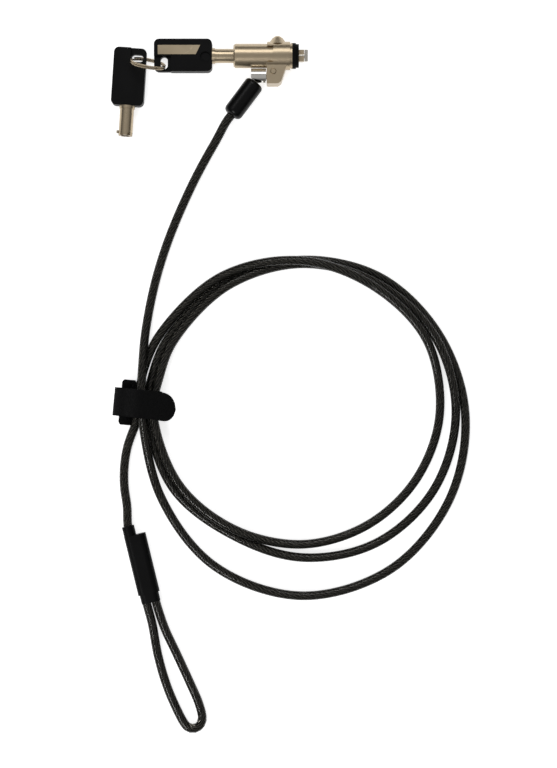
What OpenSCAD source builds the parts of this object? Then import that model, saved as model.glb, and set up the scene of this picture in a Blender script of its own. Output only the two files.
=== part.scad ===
/* [Lock barrel] */
// Diameter of the lock barrel
barrel_d = 12; // [10:0.1:16]
// Length of the lock barrel
barrel_len = 28.55; // [27:0.05:36]
// Height of the barrel's axis above the floor
axis_z = 7; // [6.9:0.1:12]
// Bore of the barrel behind the key mouth
barrel_bore_d = 8.6; // [8.2:0.1:9.4]
// Depth of the key mouth at the rear of the barrel
mouth_depth = 4.6; // [4.2:0.1:5]
// Chamfer on the barrel's rear edge
barrel_chamfer = 0.8; // [0.2:0.1:1.2]
// Depth of the groove that the collar's pin runs in
groove_depth = 0.5; // [0.3:0.05:0.8]

/* [Lock core] */
// Length of the lock core
core_len = 11.6; // [9:0.1:13]
// Number of pin tumblers in the core
tumbler_count = 7; // [5:1:8]
// Diameter of a pin tumbler
tumbler_d = 1; // [0.8:0.05:1.1]
// Radius of the circle that the tumblers stand on
tumbler_ring_r = 2.95; // [2.8:0.05:3.1]
// Length of a pin tumbler
tumbler_len = 2.9; // [2:0.1:3.2]
// Length of a tumbler spring
spring_len = 2.7; // [2:0.1:3]
// Diameter of the core's centre post
post_d = 3.6; // [3:0.1:4]

/* [T-bar and nose] */
// Diameter of the T-bar's shaft
shaft_d = 2.6; // [2:0.1:2.8]
// Long side of the T-bar's head
head_w = 5.7; // [5:0.1:6.6]
// Short side of the T-bar's head
head_t = 2.6; // [2.2:0.1:2.7]
// Thickness of the T-bar's head
head_len = 1.65; // [1.2:0.05:2.2]
// Length of the two guide tabs
guide_len = 2.65; // [2:0.05:3.4]
// Diameter of the nose's hub
hub_d = 6.5; // [6.3:0.1:7]
// Diameter of the nose's flange
flange_d = 12.8; // [12.4:0.1:13.6]
// Thickness of the nose's flange
flange_t = 0.7; // [0.5:0.05:1.2]
// Length of the nose's spigot inside the barrel
spigot_len = 6.3; // [5:0.1:7]
// Diameter of the rubber washer
washer_d = 12.7; // [11:0.1:14]
// Thickness of the rubber washer
washer_t = 3.25; // [2:0.05:4]
// Diameter of the washer's smaller step
washer_step_d = 11.6; // [9:0.1:12.4]
// Diameter of the roll pin that holds the nose
roll_pin_d = 1.2; // [0.8:0.1:1.4]

/* [Collar] */
// Diameter of the swivel collar
collar_d = 14; // [13.6:0.1:18]
// Length of the collar's ring
collar_len = 8.5; // [7.5:0.1:10]
// Length of the two wings behind the ring
wing_len = 3; // [1:0.1:3]
// Width of the window between the wings
window_w = 8; // [5:0.1:9]
// Diameter of the round boss on the collar
boss_d = 5.2; // [4:0.1:6]
// How far the boss stands from the barrel's axis
boss_r = 10; // [9.4:0.1:12]
// Diameter of the pin inside the boss
collar_pin_d = 1.8; // [1.2:0.1:2]
// Thickness of the lug that carries the swivel
lug_t = 9.4; // [8:0.1:12]
// Length of the lug at its foot
lug_foot = 7.3; // [6.5:0.1:8.5]
// Length of the lug where it meets the collar
lug_root = 10.6; // [9.5:0.1:11.4]
// Diameter of the rivet in the lug
rivet_d = 1.8; // [1.4:0.1:2]
// Diameter of the rivet's head
rivet_head_d = 3; // [2.6:0.1:3.6]
// Height of the rivet's head
rivet_head_t = 0.45; // [0.3:0.05:0.8]

/* [Swivel link] */
// Diameter of the swivel link
link_d = 7.2; // [6.8:0.1:7.6]
// Length of the swivel link
link_len = 7.45; // [7:0.05:9]
// Distance between the link's axis and the barrel's axis
link_offset = 9.9; // [9.8:0.1:11]
// Diameter of the axle that the link turns on
axle_d = 4; // [3.6:0.1:4.2]
// Length of the axle inside the lug
axle_seat = 5.8; // [4.5:0.1:6]
// Diameter of the link's retaining pin
link_pin_d = 1.1; // [0.8:0.05:1.2]
// Diameter of the ball on the cable's terminal
ball_d = 3.4; // [3:0.1:3.5]

/* [Cable] */
// Diameter of the jacketed cable
cable_d = 4.5; // [4.5:0.1:4.6]
// Diameter of the boot
boot_d = 9.8; // [8.4:0.1:10.4]
// Length of the boot
boot_len = 20.5; // [19:0.1:24]
// Angle of the boot to the barrel's axis
boot_angle = 53.13; // [50:0.01:56]
// Diameter of the terminal's ferrule inside the boot
ferrule_d = 6.4; // [5.8:0.1:7]
// Length of the terminal's ferrule
ferrule_len = 12.1; // [9:0.1:14]
// Radius of the coil's outer edge
coil_outer_r = 84.6; // [84.6:0.1:85]
// Radius of the coil's inner edge
coil_inner_r = 68; // [67.5:0.1:68]
// Height of the coil where its turns cross
coil_h = 9.2; // [9:0.1:10]
// Width of the sleeve that closes the eye
sleeve_w = 11; // [9.8:0.1:12]
// Height of the sleeve that closes the eye
sleeve_h = 6.4; // [5.8:0.1:7.5]
// Length of the sleeve that closes the eye
sleeve_len = 30.2; // [30.2:0.1:31]

/* [Strap] */
// Width of the hook-and-loop strap
strap_w = 14; // [12:0.5:16]
// Thickness of one layer of the strap
strap_t = 1.3; // [1:0.1:1.3]
// Width of the strap's head
strap_head_w = 22; // [18:0.5:26]
// Length of the strap's free end
strap_tab_len = 6.5; // [4:0.5:10]

/* [Keys] */
// Diameter of the tubular key
key_d = 7; // [6.8:0.05:7.1]
// Inner diameter of the tubular key
key_bore_d = 4.4; // [4.2:0.1:4.8]
// Length of the key's tube outside the bow
key_len = 15; // [13:0.1:20]
// Length of the key's bow
bow_len = 28.9; // [26:0.1:34]
// Width of the key's bow
bow_w = 16.2; // [16:0.1:20]
// Thickness of the key's bow
bow_t = 5.4; // [5:0.1:6.6]
// Radius of the bow's corners
bow_corner_r = 2.5; // [1:0.1:4]
// Depth of the label's recess in the bow
label_depth = 0.5; // [0.3:0.05:0.7]
// Mean radius of the split ring
ring_r = 8.6; // [8.4:0.05:9]
// Diameter of the split ring's wire
ring_wire_d = 0.9; // [0.7:0.05:1]

/* [Hidden] */

// fits: running clearance in a bore, clearance between bodies, and cutting overlap
run = 0.05;
gap = 0.3;
eps = 0.01;
fine = 64;

// stations along the barrel's axis, which runs along X at this Y
axis_y = 14.81;
front_x = 40.655;
rear_x = front_x - barrel_len;
barrel_r = barrel_d / 2;
bore_r = barrel_bore_d / 2;
shaft_r = shaft_d / 2;
mouth_x = rear_x + mouth_depth;
core_x = mouth_x + run;
core_end_x = core_x + core_len;
core_r = bore_r - run;
post_len = mouth_depth - 0.85;
disc_t = 1.5;
tang_t = 1.2;
tang_w = 2;
spacer_x = core_end_x + disc_t + 0.2;
spigot_x = front_x - spigot_len;
washer_x = front_x + flange_t;
tip_x = washer_x + washer_t;
head_x = tip_x + guide_len + 0.2;
roll_pin_x = front_x - spigot_len / 2;
roll_pin_y = (shaft_r + bore_r) / 2 + 0.2;

// the key's nub runs in a groove behind the barrel's mouth
nub_w = 1.7;
nub_r = key_d / 2 + 1;
nub_len = 1.4;
nub_back = 1.1;
lip_t = 1.55;
nub_groove_r = nub_r + 0.2;
key_tip_x = core_x - gap;

// the collar sits just behind the nose's flange
collar_front_x = front_x - gap;
collar_x = collar_front_x - collar_len;
collar_bore_r = barrel_r + run;
boss_x = collar_x + boss_d / 2 - 0.4;
groove_w = collar_pin_d + 2 * 0.15;
groove_r = barrel_r - groove_depth;
boss_dome_r = boss_d / 2 + 0.2;
boss_skirt_h = 5.5;

// the lug hangs below the collar, and its rear face meets the link
lug_x = collar_x - wing_len - 0.25;
lug_bottom_y = 0.3;
link_y = axis_y - link_offset;
axle_r = axle_d / 2;
axle_groove_r = axle_r - 0.55;
axle_in_link = 1.55;
link_end_x = lug_x - gap;
link_x = link_end_x - link_len;
axle_x = link_end_x - axle_in_link;
rivet_x = lug_x + 3.35;
rivet_y = link_y + 1.5;
link_pin_x = axle_x + 0.7;
link_pin_z = axis_z + axle_groove_r + link_pin_d / 2 + run;
link_pin_proud = 0.8;

// the boot starts beside the link's lower corner, and its cable runs down and to the left
boot_x = link_x + 2.25;
boot_y = link_y - 3.3;
boot_dir = [-cos(boot_angle), -sin(boot_angle), 0];
boot_r = boot_d / 2;
boot_skin = 0.9;
rod_d = 2.2;
ball_back = 2;
cable_depth = 5;
cable_r = cable_d / 2;

// the coil: an outer and an inner circle that aren't concentric, as the turns lie loosely
coil_outer_at = [47.85, -170.75];
coil_inner_at = [44.25, -159];

// the strap's channel, and the bundle of strands inside it
strap_x = -31.5;
strap_y = -157.75;
bundle_w = 13.8;
bundle_h = 9;
channel_w = bundle_w + 0.4;
channel_h = bundle_h + 0.2;
strap_fold_len = 7.6;
strap_head_len = 6;

// the eye's sleeve
sleeve_at = [-37.5, -224.25];
sleeve_angle = -76.3;
sleeve_z = sleeve_h / 2;
channel_pitch = cable_d + 0.15;
neck_len = 5;
neck_d = 6.2;
ring_len = 4.5;
ring_w = 9.6;
ring_h = 5.6;

// the cable's three free stretches, through points chosen by hand
cable_sides = 10;
function along_boot(s) = [boot_x, boot_y, axis_z] + boot_dir * s;
lead_points = concat([along_boot(cable_depth), along_boot(boot_len), along_boot(boot_len + 4)], [
    [3.6, -26.8, 6], [-0.8, -34.3, 5], [-5, -41.8, 3.9], [-8.9, -49.3, 3], [-15.8, -64.3, 2.4],
    [-21.7, -79.3, 2.3], [-26.4, -94.3, 2.3], [-29.9, -109.3, 2.3], [-32.3, -124.3, 2.3],
    [-33.2, -137, 3], [-33.6, -147, 4.2]
]);
tail_points = concat([
    [-36.3, -165.5, 4.2], [-37.3, -169.5, 3.7], [-39.1, -174, 2.9], [-41.3, -180.5, 2.3],
    [-42.8, -190, 2.3], [-42.8, -200, 2.4], [-41.4, -210, 2.9]
], [sleeve_point(-1, -neck_len), sleeve_point(-1, 0.2)]);
eye_points = concat([sleeve_point(-1, sleeve_len - 1), sleeve_point(-1, sleeve_len + ring_len)], [
    [-28.8, -269, 2.5], [-26.1, -284, 2.3], [-22.2, -298, 2.3], [-17.9, -308.8, 2.3],
    [-12.7, -318.9, 2.3], [-10.7, -321, 2.3], [-8.2, -321.6, 2.3], [-5.8, -320.7, 2.3],
    [-4.2, -318.8, 2.3], [-3.7, -316.2, 2.3], [-5.4, -309, 2.3], [-9.6, -299.2, 2.3],
    [-16.5, -284.2, 2.3], [-22.6, -271, 2.5]
], [sleeve_point(1, sleeve_len + ring_len), sleeve_point(1, sleeve_len - 1)]);

// a point in one of the sleeve's two channels, at a distance from the sleeve's upper end
function sleeve_point(side, s) = [
    sleeve_at[0] + s * cos(sleeve_angle) - side * channel_pitch / 2 * sin(sleeve_angle),
    sleeve_at[1] + s * sin(sleeve_angle) + side * channel_pitch / 2 * cos(sleeve_angle),
    sleeve_z
];

// the key's own frame: its tip is at the origin, and the bow lies along -X
bow_x = -key_len - bow_len;
slot_x = bow_x + 5;
slot_w = 3.6;
slot_low_y = -bow_w / 2 + 1.3;
slot_high_y = -0.7;
web_t = 2.6;
pocket_len = 8.4;
key_washer_d = key_d + 0.8;
key_washer_t = 1.4;
tang_len = 9;
key_tang_w = 5;
key_tang_t = 2.4;
label_plate_t = label_depth - 0.1;
dimple_d = 5.6;
dimple_depth = 1.1;

// the ring leans over the line between the two keys' slots
ring_lean = 22;
ring_wire_r = ring_wire_d / 2;
ring_pitch = ring_wire_d + 0.02;
ring_z = ring_r * cos(ring_lean) + 2 * ring_wire_r * sin(ring_lean) + ring_wire_r + 0.15;
ring_yaw = 168.1;
key_2_z = key_washer_d / 2;
key_2_yaw = -93.7;
ring_in_key_1 = [key_tip_x + slot_x + 0.25, axis_y - 5.1, axis_z];
ring_u = [cos(ring_yaw), sin(ring_yaw), 0];
ring_v = [-sin(ring_yaw) * sin(ring_lean), cos(ring_yaw) * sin(ring_lean), cos(ring_lean)];
key_1_v = (axis_z - ring_z) / cos(ring_lean);
key_2_v = (key_2_z - ring_z) / cos(ring_lean);
ring_at = ring_in_key_1 + sqrt(ring_r * ring_r - key_1_v * key_1_v) * ring_u - key_1_v * ring_v;
ring_in_key_2 = ring_at + sqrt(ring_r * ring_r - key_2_v * key_2_v) * ring_u + key_2_v * ring_v;
// the point of key 2's slot that the ring passes through, in the flipped key's own frame
slot_2 = [slot_x, 3];
key_2_at = [
    ring_in_key_2[0] - slot_2[0] * cos(key_2_yaw) + slot_2[1] * sin(key_2_yaw),
    ring_in_key_2[1] - slot_2[0] * sin(key_2_yaw) - slot_2[1] * cos(key_2_yaw),
    key_2_z
];

// ---- helpers ----

// children drawn along +Z are laid along the barrel's axis, from station x
module on_axis(x) translate([x, axis_y, axis_z]) rotate([0, 90, 0]) children();

// children drawn along +Z are laid along the link's axis
module on_link_axis(x) translate([x, link_y, axis_z]) rotate([0, 90, 0]) children();

// children drawn along +Z are laid along the boot's axis, from distance s
module on_boot(s) translate(along_boot(s)) rotate([0, 0, boot_angle + 180]) rotate([0, 90, 0]) children();

// a rod or a tube with its ends at 0 and len
module tube(r, bore, len) difference() {
    cylinder(r = r, h = len, $fn = fine);
    if (bore > 0) translate([0, 0, -1]) cylinder(r = bore, h = len + 2, $fn = fine);
}

// a flat plate with round corners
function corner_arc(x, y, r, a0) = [for (i = [0:6]) [x + r * cos(a0 + i * 15), y + r * sin(a0 + i * 15)]];
module round_plate(x0, x1, y0, y1, r, h) linear_extrude(height = h) polygon(concat(
    corner_arc(x1 - r, y1 - r, r, 0), corner_arc(x0 + r, y1 - r, r, 90),
    corner_arc(x0 + r, y0 + r, r, 180), corner_arc(x1 - r, y0 + r, r, 270)
));

// a slot's solid with round ends along Y
module slot_solid(x, y0, y1, w, h) {
    translate([x, y0 + w / 2, -h / 2]) cylinder(r = w / 2, h = h, $fn = fine);
    translate([x, y1 - w / 2, -h / 2]) cylinder(r = w / 2, h = h, $fn = fine);
    translate([x - w / 2, y0 + w / 2, -h / 2]) cube([w, y1 - y0 - w, h]);
}

// a round tube swept along a list of points
function unit(v) = v / norm(v);
function tangent(p, i) = unit(p[min(i + 1, len(p) - 1)] - p[max(i - 1, 0)]);
function side_of(t) = unit(cross([0, 0, 1], t));
function ring_of(p, i, r, n) = let (t = tangent(p, i), a = side_of(t), b = cross(t, a))
    [for (k = [0:n - 1]) p[i] + r * (cos(360 * k / n) * a + sin(360 * k / n) * b)];
module sweep(p, r, n) {
    last = (len(p) - 1) * n;
    polyhedron(
        points = [for (i = [0:len(p) - 1]) each ring_of(p, i, r, n)],
        faces = concat(
            [[for (k = [0:n - 1]) n - 1 - k]],
            [for (i = [0:len(p) - 2]) for (k = [0:n - 1])
                [i * n + k, i * n + (k + 1) % n, (i + 1) * n + (k + 1) % n, (i + 1) * n + k]],
            [[for (k = [0:n - 1]) last + k]]
        ),
        convexity = 6
    );
}

// ---- lock ----

module lock_barrel() color([0.72, 0.69, 0.62]) difference() {
    union() {
        on_axis(rear_x + barrel_chamfer) cylinder(r = barrel_r, h = barrel_len - barrel_chamfer, $fn = fine);
        on_axis(rear_x) cylinder(r1 = barrel_r - barrel_chamfer, r2 = barrel_r, h = barrel_chamfer, $fn = fine);
    }
    on_axis(mouth_x) cylinder(r = bore_r, h = barrel_len, $fn = fine);
    on_axis(rear_x - 1) cylinder(r = key_d / 2 + 0.1, h = mouth_depth + 2, $fn = fine);
    on_axis(rear_x + lip_t) cylinder(r = nub_groove_r, h = mouth_depth - lip_t - 0.7, $fn = fine);
    translate([rear_x - 1, axis_y, axis_z - nub_w / 2 - 0.1])
        cube([lip_t + 2, nub_groove_r, nub_w + 0.2]);
    on_axis(boss_x - groove_w / 2) tube(barrel_r + 1, groove_r, groove_w);
    roll_pin_hole();
}

module roll_pin_hole() translate([roll_pin_x, axis_y + roll_pin_y, 0])
    cylinder(r = roll_pin_d / 2, h = 2 * axis_z, $fn = 32);

module nose_piece() color([0.74, 0.71, 0.64]) difference() {
    union() {
        on_axis(spigot_x) cylinder(r = bore_r, h = spigot_len, $fn = fine);
        on_axis(front_x) cylinder(r = flange_d / 2, h = flange_t, $fn = fine);
        on_axis(front_x) cylinder(r = hub_d / 2, h = tip_x - front_x, $fn = fine);
        translate([tip_x, axis_y - head_w / 2, axis_z - head_t / 2])
            cube([guide_len, head_w, head_t]);
    }
    on_axis(spigot_x - 1) cylinder(r = shaft_r + run, h = spigot_len + guide_len + washer_t + 8, $fn = fine);
    roll_pin_hole();
}

module roll_pin() color([0.45, 0.45, 0.46])
    let (half = sqrt(pow(barrel_r - 0.1, 2) - pow(roll_pin_y + roll_pin_d / 2, 2)))
    translate([roll_pin_x, axis_y + roll_pin_y, axis_z - half])
        cylinder(r = roll_pin_d / 2, h = 2 * half, $fn = 32);

module spacer_sleeve() color([0.75, 0.66, 0.42])
    on_axis(spacer_x) tube(bore_r, shaft_r + gap, spigot_x - spacer_x);

module rubber_washer() color([0.05, 0.05, 0.05]) {
    on_axis(washer_x) tube(washer_d / 2, hub_d / 2, washer_t * 0.55);
    on_axis(washer_x + washer_t * 0.55) tube(washer_step_d / 2, hub_d / 2, washer_t * 0.45);
}

// children are repeated at each tumbler's place on the core's face
module at_tumblers() for (i = [0:tumbler_count - 1])
    rotate([0, 0, 360 * (i + 0.5) / tumbler_count]) translate([tumbler_ring_r, 0, 0]) children();

tumbler_hole_depth = tumbler_len + spring_len + 0.4;

module lock_core() color([0.75, 0.66, 0.42]) difference() {
    union() {
        on_axis(core_x) cylinder(r = core_r, h = core_len, $fn = fine);
        on_axis(core_x - post_len) cylinder(r = post_d / 2, h = post_len + 1, $fn = fine);
    }
    on_axis(core_x - 1) at_tumblers() cylinder(r = tumbler_d / 2, h = tumbler_hole_depth + 1, $fn = 24);
    translate([core_end_x - tang_t, axis_y - tang_w / 2, axis_z - core_r - 1])
        cube([tang_t + 1, tang_w, 2 * core_r + 2]);
}

module pin_tumblers() color([0.8, 0.7, 0.45])
    on_axis(core_x + 0.2) at_tumblers() cylinder(r = tumbler_d / 2, h = tumbler_len, $fn = 24);

module tumbler_springs() color([0.6, 0.6, 0.62])
    on_axis(core_x + 0.2 + tumbler_len) at_tumblers() difference() {
        cylinder(r = tumbler_d / 2, h = spring_len + 0.2, $fn = 24);
        translate([0, 0, 0.2]) cylinder(r = tumbler_d / 2 - 0.2, h = spring_len + 1, $fn = 24);
    }

module t_bar() color([0.7, 0.68, 0.64]) {
    on_axis(core_end_x) cylinder(r = core_r, h = disc_t, $fn = fine);
    translate([core_end_x - tang_t, axis_y - tang_w / 2, axis_z - core_r / 2])
        cube([tang_t + 0.5, tang_w, core_r]);
    on_axis(core_end_x + 0.5) cylinder(r = shaft_r, h = head_x + 0.5 - core_end_x, $fn = fine);
    translate([head_x, axis_y - head_w / 2, axis_z - head_t / 2]) cube([head_len, head_w, head_t]);
}

// ---- collar ----

module collar() color([0.76, 0.71, 0.6]) difference() {
    union() {
        on_axis(collar_x - wing_len) cylinder(r = collar_d / 2, h = collar_len + wing_len, $fn = fine);
        boss();
        lug();
    }
    on_axis(collar_x - wing_len - 1) cylinder(r = collar_bore_r, h = collar_len + wing_len + 2, $fn = fine);
    translate([collar_x - wing_len - 1, axis_y - window_w / 2, axis_z - collar_d])
        cube([wing_len + 1, window_w, 2 * collar_d]);
    translate([boss_x, axis_y, axis_z]) rotate([-90, 0, 0])
        cylinder(r = collar_pin_d / 2, h = boss_r - 1.2, $fn = 32);
    on_link_axis(lug_x - 1) cylinder(r = axle_r, h = axle_seat + 1, $fn = fine);
    translate([rivet_x, rivet_y, 0]) cylinder(r = rivet_d / 2, h = 3 * axis_z, $fn = 32);
}

module boss() translate([boss_x, axis_y, axis_z]) rotate([-90, 0, 0]) {
    cylinder(r = boss_d / 2, h = boss_r - 1.2, $fn = fine);
    translate([0, 0, boss_skirt_h])
        cylinder(r1 = boss_d / 2 + 2.4, r2 = boss_d / 2, h = boss_r - 1.2 - boss_skirt_h, $fn = fine);
    intersection() {
        translate([0, 0, boss_r - boss_dome_r]) sphere(r = boss_dome_r, $fn = fine);
        cylinder(r = boss_d / 2, h = boss_r + 1, $fn = fine);
    }
}

module lug() translate([0, 0, axis_z - lug_t / 2]) linear_extrude(height = lug_t) polygon([
    [lug_x, axis_y - 3.2],
    [lug_x, lug_bottom_y + 0.4],
    [lug_x + 0.4, lug_bottom_y],
    [lug_x + lug_foot - 1.6, lug_bottom_y],
    [lug_x + lug_foot, lug_bottom_y + 1.2],
    [lug_x + lug_root, axis_y - 3.2]
]);

module collar_pin() color([0.5, 0.5, 0.5])
    translate([boss_x, axis_y + groove_r + run, axis_z]) rotate([-90, 0, 0])
        cylinder(r = collar_pin_d / 2, h = boss_r - 1.2 - groove_r - run, $fn = 32);

module swivel_axle() color([0.66, 0.66, 0.66]) difference() {
    union() {
        on_link_axis(axle_x) cylinder(r = axle_r - run, h = link_end_x + gap + eps - axle_x, $fn = fine);
        on_link_axis(lug_x) cylinder(r = axle_r, h = axle_seat, $fn = fine);
    }
    axle_groove();
    translate([rivet_x, rivet_y, 0]) cylinder(r = rivet_d / 2, h = 3 * axis_z, $fn = 32);
}

module axle_groove() on_link_axis(link_pin_x - link_pin_d / 2 - 0.15)
    tube(axle_r + 1, axle_groove_r, link_pin_d + 0.3);

module lug_rivet() color([0.62, 0.6, 0.54]) {
    translate([rivet_x, rivet_y, axis_z - lug_t / 2]) cylinder(r = rivet_d / 2, h = lug_t, $fn = 32);
    translate([rivet_x, rivet_y, axis_z + lug_t / 2])
        cylinder(r1 = rivet_head_d / 2, r2 = rivet_head_d / 2 - 0.3, h = rivet_head_t, $fn = 32);
    translate([rivet_x, rivet_y, axis_z - lug_t / 2 - rivet_head_t])
        cylinder(r2 = rivet_head_d / 2, r1 = rivet_head_d / 2 - 0.3, h = rivet_head_t, $fn = 32);
}

// ---- swivel link ----

module swivel_link() color([0.85, 0.85, 0.86]) difference() {
    on_link_axis(link_x) cylinder(r = link_d / 2, h = link_len, $fn = fine);
    on_link_axis(axle_x - 0.1) cylinder(r = axle_r, h = axle_in_link + 1, $fn = fine);
    on_boot(-gap) translate([-20, -20, 0]) cube([40, 40, 20]);
    on_boot(-ball_back) cylinder(r = rod_d / 2 + run, h = ball_back + 1, $fn = fine);
    translate(along_boot(-ball_back)) sphere(r = ball_d / 2 + run, $fn = fine);
    link_pin_solid(0);
}

module link_pin_solid(extra) let (half = sqrt(pow(link_d / 2, 2) - pow(link_pin_z - axis_z, 2)))
    translate([link_pin_x, link_y + half - extra, link_pin_z]) rotate([90, 0, 0])
        cylinder(r = link_pin_d / 2, h = 2 * half + link_pin_proud - extra, $fn = 32);

module link_pin() color([0.25, 0.22, 0.22]) link_pin_solid(0.2);

// ---- cable ----

module cable_terminal() color([0.68, 0.68, 0.69]) {
    translate(along_boot(-ball_back)) sphere(r = ball_d / 2, $fn = fine);
    on_boot(-ball_back) cylinder(r = rod_d / 2, h = ball_back + boot_skin + 0.5, $fn = fine);
    difference() {
        on_boot(boot_skin) cylinder(r = ferrule_d / 2, h = ferrule_len, $fn = fine);
        on_boot(cable_depth) cylinder(r = cable_r, h = boot_len, $fn = fine);
    }
}

module cable_boot() color([0.03, 0.03, 0.035]) difference() {
    on_boot(0) rotate_extrude($fn = fine) polygon(concat(
        [[0, 0]],
        [for (a = [0:15:90]) [boot_r - 2 + 2 * sin(a), 2 - 2 * cos(a)]],
        [for (a = [0:15:90]) [boot_r - 2.6 + 2.6 * cos(a), boot_len - 2.6 + 2.6 * sin(a)]],
        [[0, boot_len]]
    ));
    on_boot(-1) cylinder(r = rod_d / 2, h = boot_skin + 2, $fn = fine);
    on_boot(boot_skin) cylinder(r = ferrule_d / 2, h = ferrule_len, $fn = fine);
    on_boot(boot_skin + ferrule_len - 1) cylinder(r = cable_r, h = boot_len, $fn = fine);
}

module cable_lead() color([0.12, 0.12, 0.12]) sweep(lead_points, cable_r, cable_sides);

module cable_coil() color([0.12, 0.12, 0.12]) {
    difference() {
        translate(coil_outer_at) cylinder(r = coil_outer_r, h = coil_h, $fn = 180);
        translate([coil_inner_at[0], coil_inner_at[1], -1]) cylinder(r = coil_inner_r, h = coil_h + 2, $fn = 180);
        translate([strap_x - 12, strap_y - strap_w / 2 - 0.2, -1]) cube([24, strap_w + 0.4, coil_h + 2]);
    }
    translate([strap_x - bundle_w / 2, strap_y - strap_w / 2 - 0.8, strap_t + 0.1])
        cube([bundle_w, strap_w + 1.6, bundle_h]);
}

module cable_tail() color([0.12, 0.12, 0.12]) sweep(tail_points, cable_r, cable_sides);

module cable_eye() color([0.12, 0.12, 0.12]) sweep(eye_points, cable_r, cable_sides);

// children drawn along +X from the sleeve's upper end
module on_sleeve(s) translate([sleeve_at[0], sleeve_at[1], sleeve_z])
    rotate([0, 0, sleeve_angle]) translate([s, 0, 0]) children();

// an oval bar along +X
module oval_bar(w, h, len) rotate([0, 90, 0]) {
    for (side = [-1, 1]) translate([0, side * (w - h) / 2, 0]) cylinder(r = h / 2, h = len, $fn = fine);
    translate([-h / 2, -(w - h) / 2, 0]) cube([h, w - h, len]);
}

module channels(s0, s1, sides) for (side = sides)
    translate([s0, side * channel_pitch / 2, 0]) rotate([0, 90, 0])
        cylinder(r = cable_r + 0.02, h = s1 - s0, $fn = fine);

module crimp_sleeve() color([0.06, 0.06, 0.06]) on_sleeve(0) difference() {
    oval_bar(sleeve_w, sleeve_h, sleeve_len);
    channels(-1, sleeve_len + 1, [-1]);
    channels(3, sleeve_len + 1, [1]);
}

module sleeve_neck() color([0.07, 0.07, 0.07]) on_sleeve(-neck_len) difference() {
    translate([0, -channel_pitch / 2, 0]) rotate([0, 90, 0]) cylinder(r = neck_d / 2, h = neck_len, $fn = fine);
    channels(-1, neck_len + 1, [-1]);
}

module sleeve_ring() color([0.07, 0.07, 0.07]) on_sleeve(sleeve_len) difference() {
    oval_bar(ring_w, ring_h, ring_len);
    channels(-1, ring_len + 1, [-1, 1]);
}

// ---- strap ----

strap_top_z = 2 * strap_t + channel_h;
fold_x = strap_x - channel_w / 2 - strap_t;
slit_z = strap_top_z - 2 * strap_t - 0.2;

module strap_band() color([0.04, 0.04, 0.04]) translate([0, strap_y - strap_w / 2, 0]) {
    difference() {
        translate([fold_x, 0, 0]) cube([channel_w + 2 * strap_t, strap_w, strap_top_z]);
        translate([fold_x + strap_t, -1, strap_t]) cube([channel_w, strap_w + 2, channel_h]);
    }
    translate([fold_x + channel_w + strap_t, 0, strap_top_z - strap_t])
        cube([strap_t + strap_tab_len, strap_w, strap_t]);
    difference() {
        translate([fold_x - strap_fold_len, 0, slit_z - strap_t])
            cube([strap_fold_len + eps, strap_w, strap_top_z - slit_z + strap_t]);
        translate([fold_x - strap_fold_len + strap_t, -1, slit_z - 0.1])
            cube([strap_fold_len, strap_w + 2, strap_t + 0.3]);
    }
}

module strap_head() color([0.05, 0.05, 0.05])
    translate([0, strap_y, slit_z])
        round_plate(fold_x - 0.2 - strap_head_len, fold_x - 0.2, -strap_head_w / 2, strap_head_w / 2, 1.5, strap_t);

// ---- keys ----

// places a key with its tip in the barrel, or hanging from the ring and lying face down
module as_key_1() translate([key_tip_x, axis_y, axis_z]) children();
module as_key_2() translate(key_2_at) rotate([0, 0, key_2_yaw]) rotate([180, 0, 0]) children();

module bow() color([0.03, 0.03, 0.03]) difference() {
    translate([0, 0, -bow_t / 2])
        round_plate(bow_x, -key_len, -bow_w / 2, bow_w / 2, bow_corner_r, bow_t);
    slot_solid(slot_x, slot_low_y, slot_high_y, slot_w, 2 * bow_t);
    for (side = [0, 1]) mirror([0, 0, side])
        translate([bow_x - 1, -bow_w / 2 - 1, web_t / 2]) cube([pocket_len + 1, bow_w / 2 + 0.7, bow_t]);
    label_recess(label_depth);
    translate([-key_len - 3.3, -1, bow_t / 2 - dimple_depth]) cylinder(r = dimple_d / 2, h = 2, $fn = fine);
    translate([-key_len - tang_len, -key_tang_w / 2, -key_tang_t / 2]) cube([tang_len + 1, key_tang_w, key_tang_t]);
}

module label_recess(depth) translate([0, 0, bow_t / 2 - depth]) linear_extrude(height = depth + eps)
    polygon([[bow_x + 1.8, 0.3], [bow_x + 20.9, 0.3], [bow_x + 23.2, 5.1], [bow_x + 1.8, 5.1]]);

module label_plate() color([0.78, 0.74, 0.62]) translate([0, 0, bow_t / 2 - label_depth])
    linear_extrude(height = label_plate_t)
        polygon([[bow_x + 1.9, 0.4], [bow_x + 20.8, 0.4], [bow_x + 23, 5], [bow_x + 1.9, 5]]);

module key_tube() color([0.78, 0.76, 0.72]) difference() {
    union() {
        translate([-key_len, 0, 0]) rotate([0, 90, 0]) cylinder(r = key_d / 2, h = key_len, $fn = fine);
        translate([-key_len - tang_len, -key_tang_w / 2, -key_tang_t / 2])
            cube([tang_len + 1, key_tang_w, key_tang_t]);
        translate([-nub_back - nub_len, 0, -nub_w / 2]) cube([nub_len, nub_r, nub_w]);
    }
    translate([-key_len + 3, 0, 0]) rotate([0, 90, 0]) cylinder(r = key_bore_d / 2, h = key_len, $fn = fine);
    rotate([0, 90, 0]) for (i = [0:tumbler_count - 1]) rotate([0, 0, 360 * (i + 0.5) / tumbler_count])
        translate([tumbler_ring_r + 0.1, 0, -0.5 - 0.35 * (i * 3 % 4)]) cylinder(r = 0.6, h = 3, $fn = 24);
}

module key_washer() color([0.7, 0.68, 0.62])
    translate([-key_len, 0, 0]) rotate([0, 90, 0]) tube(key_washer_d / 2, key_d / 2, key_washer_t);

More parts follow.
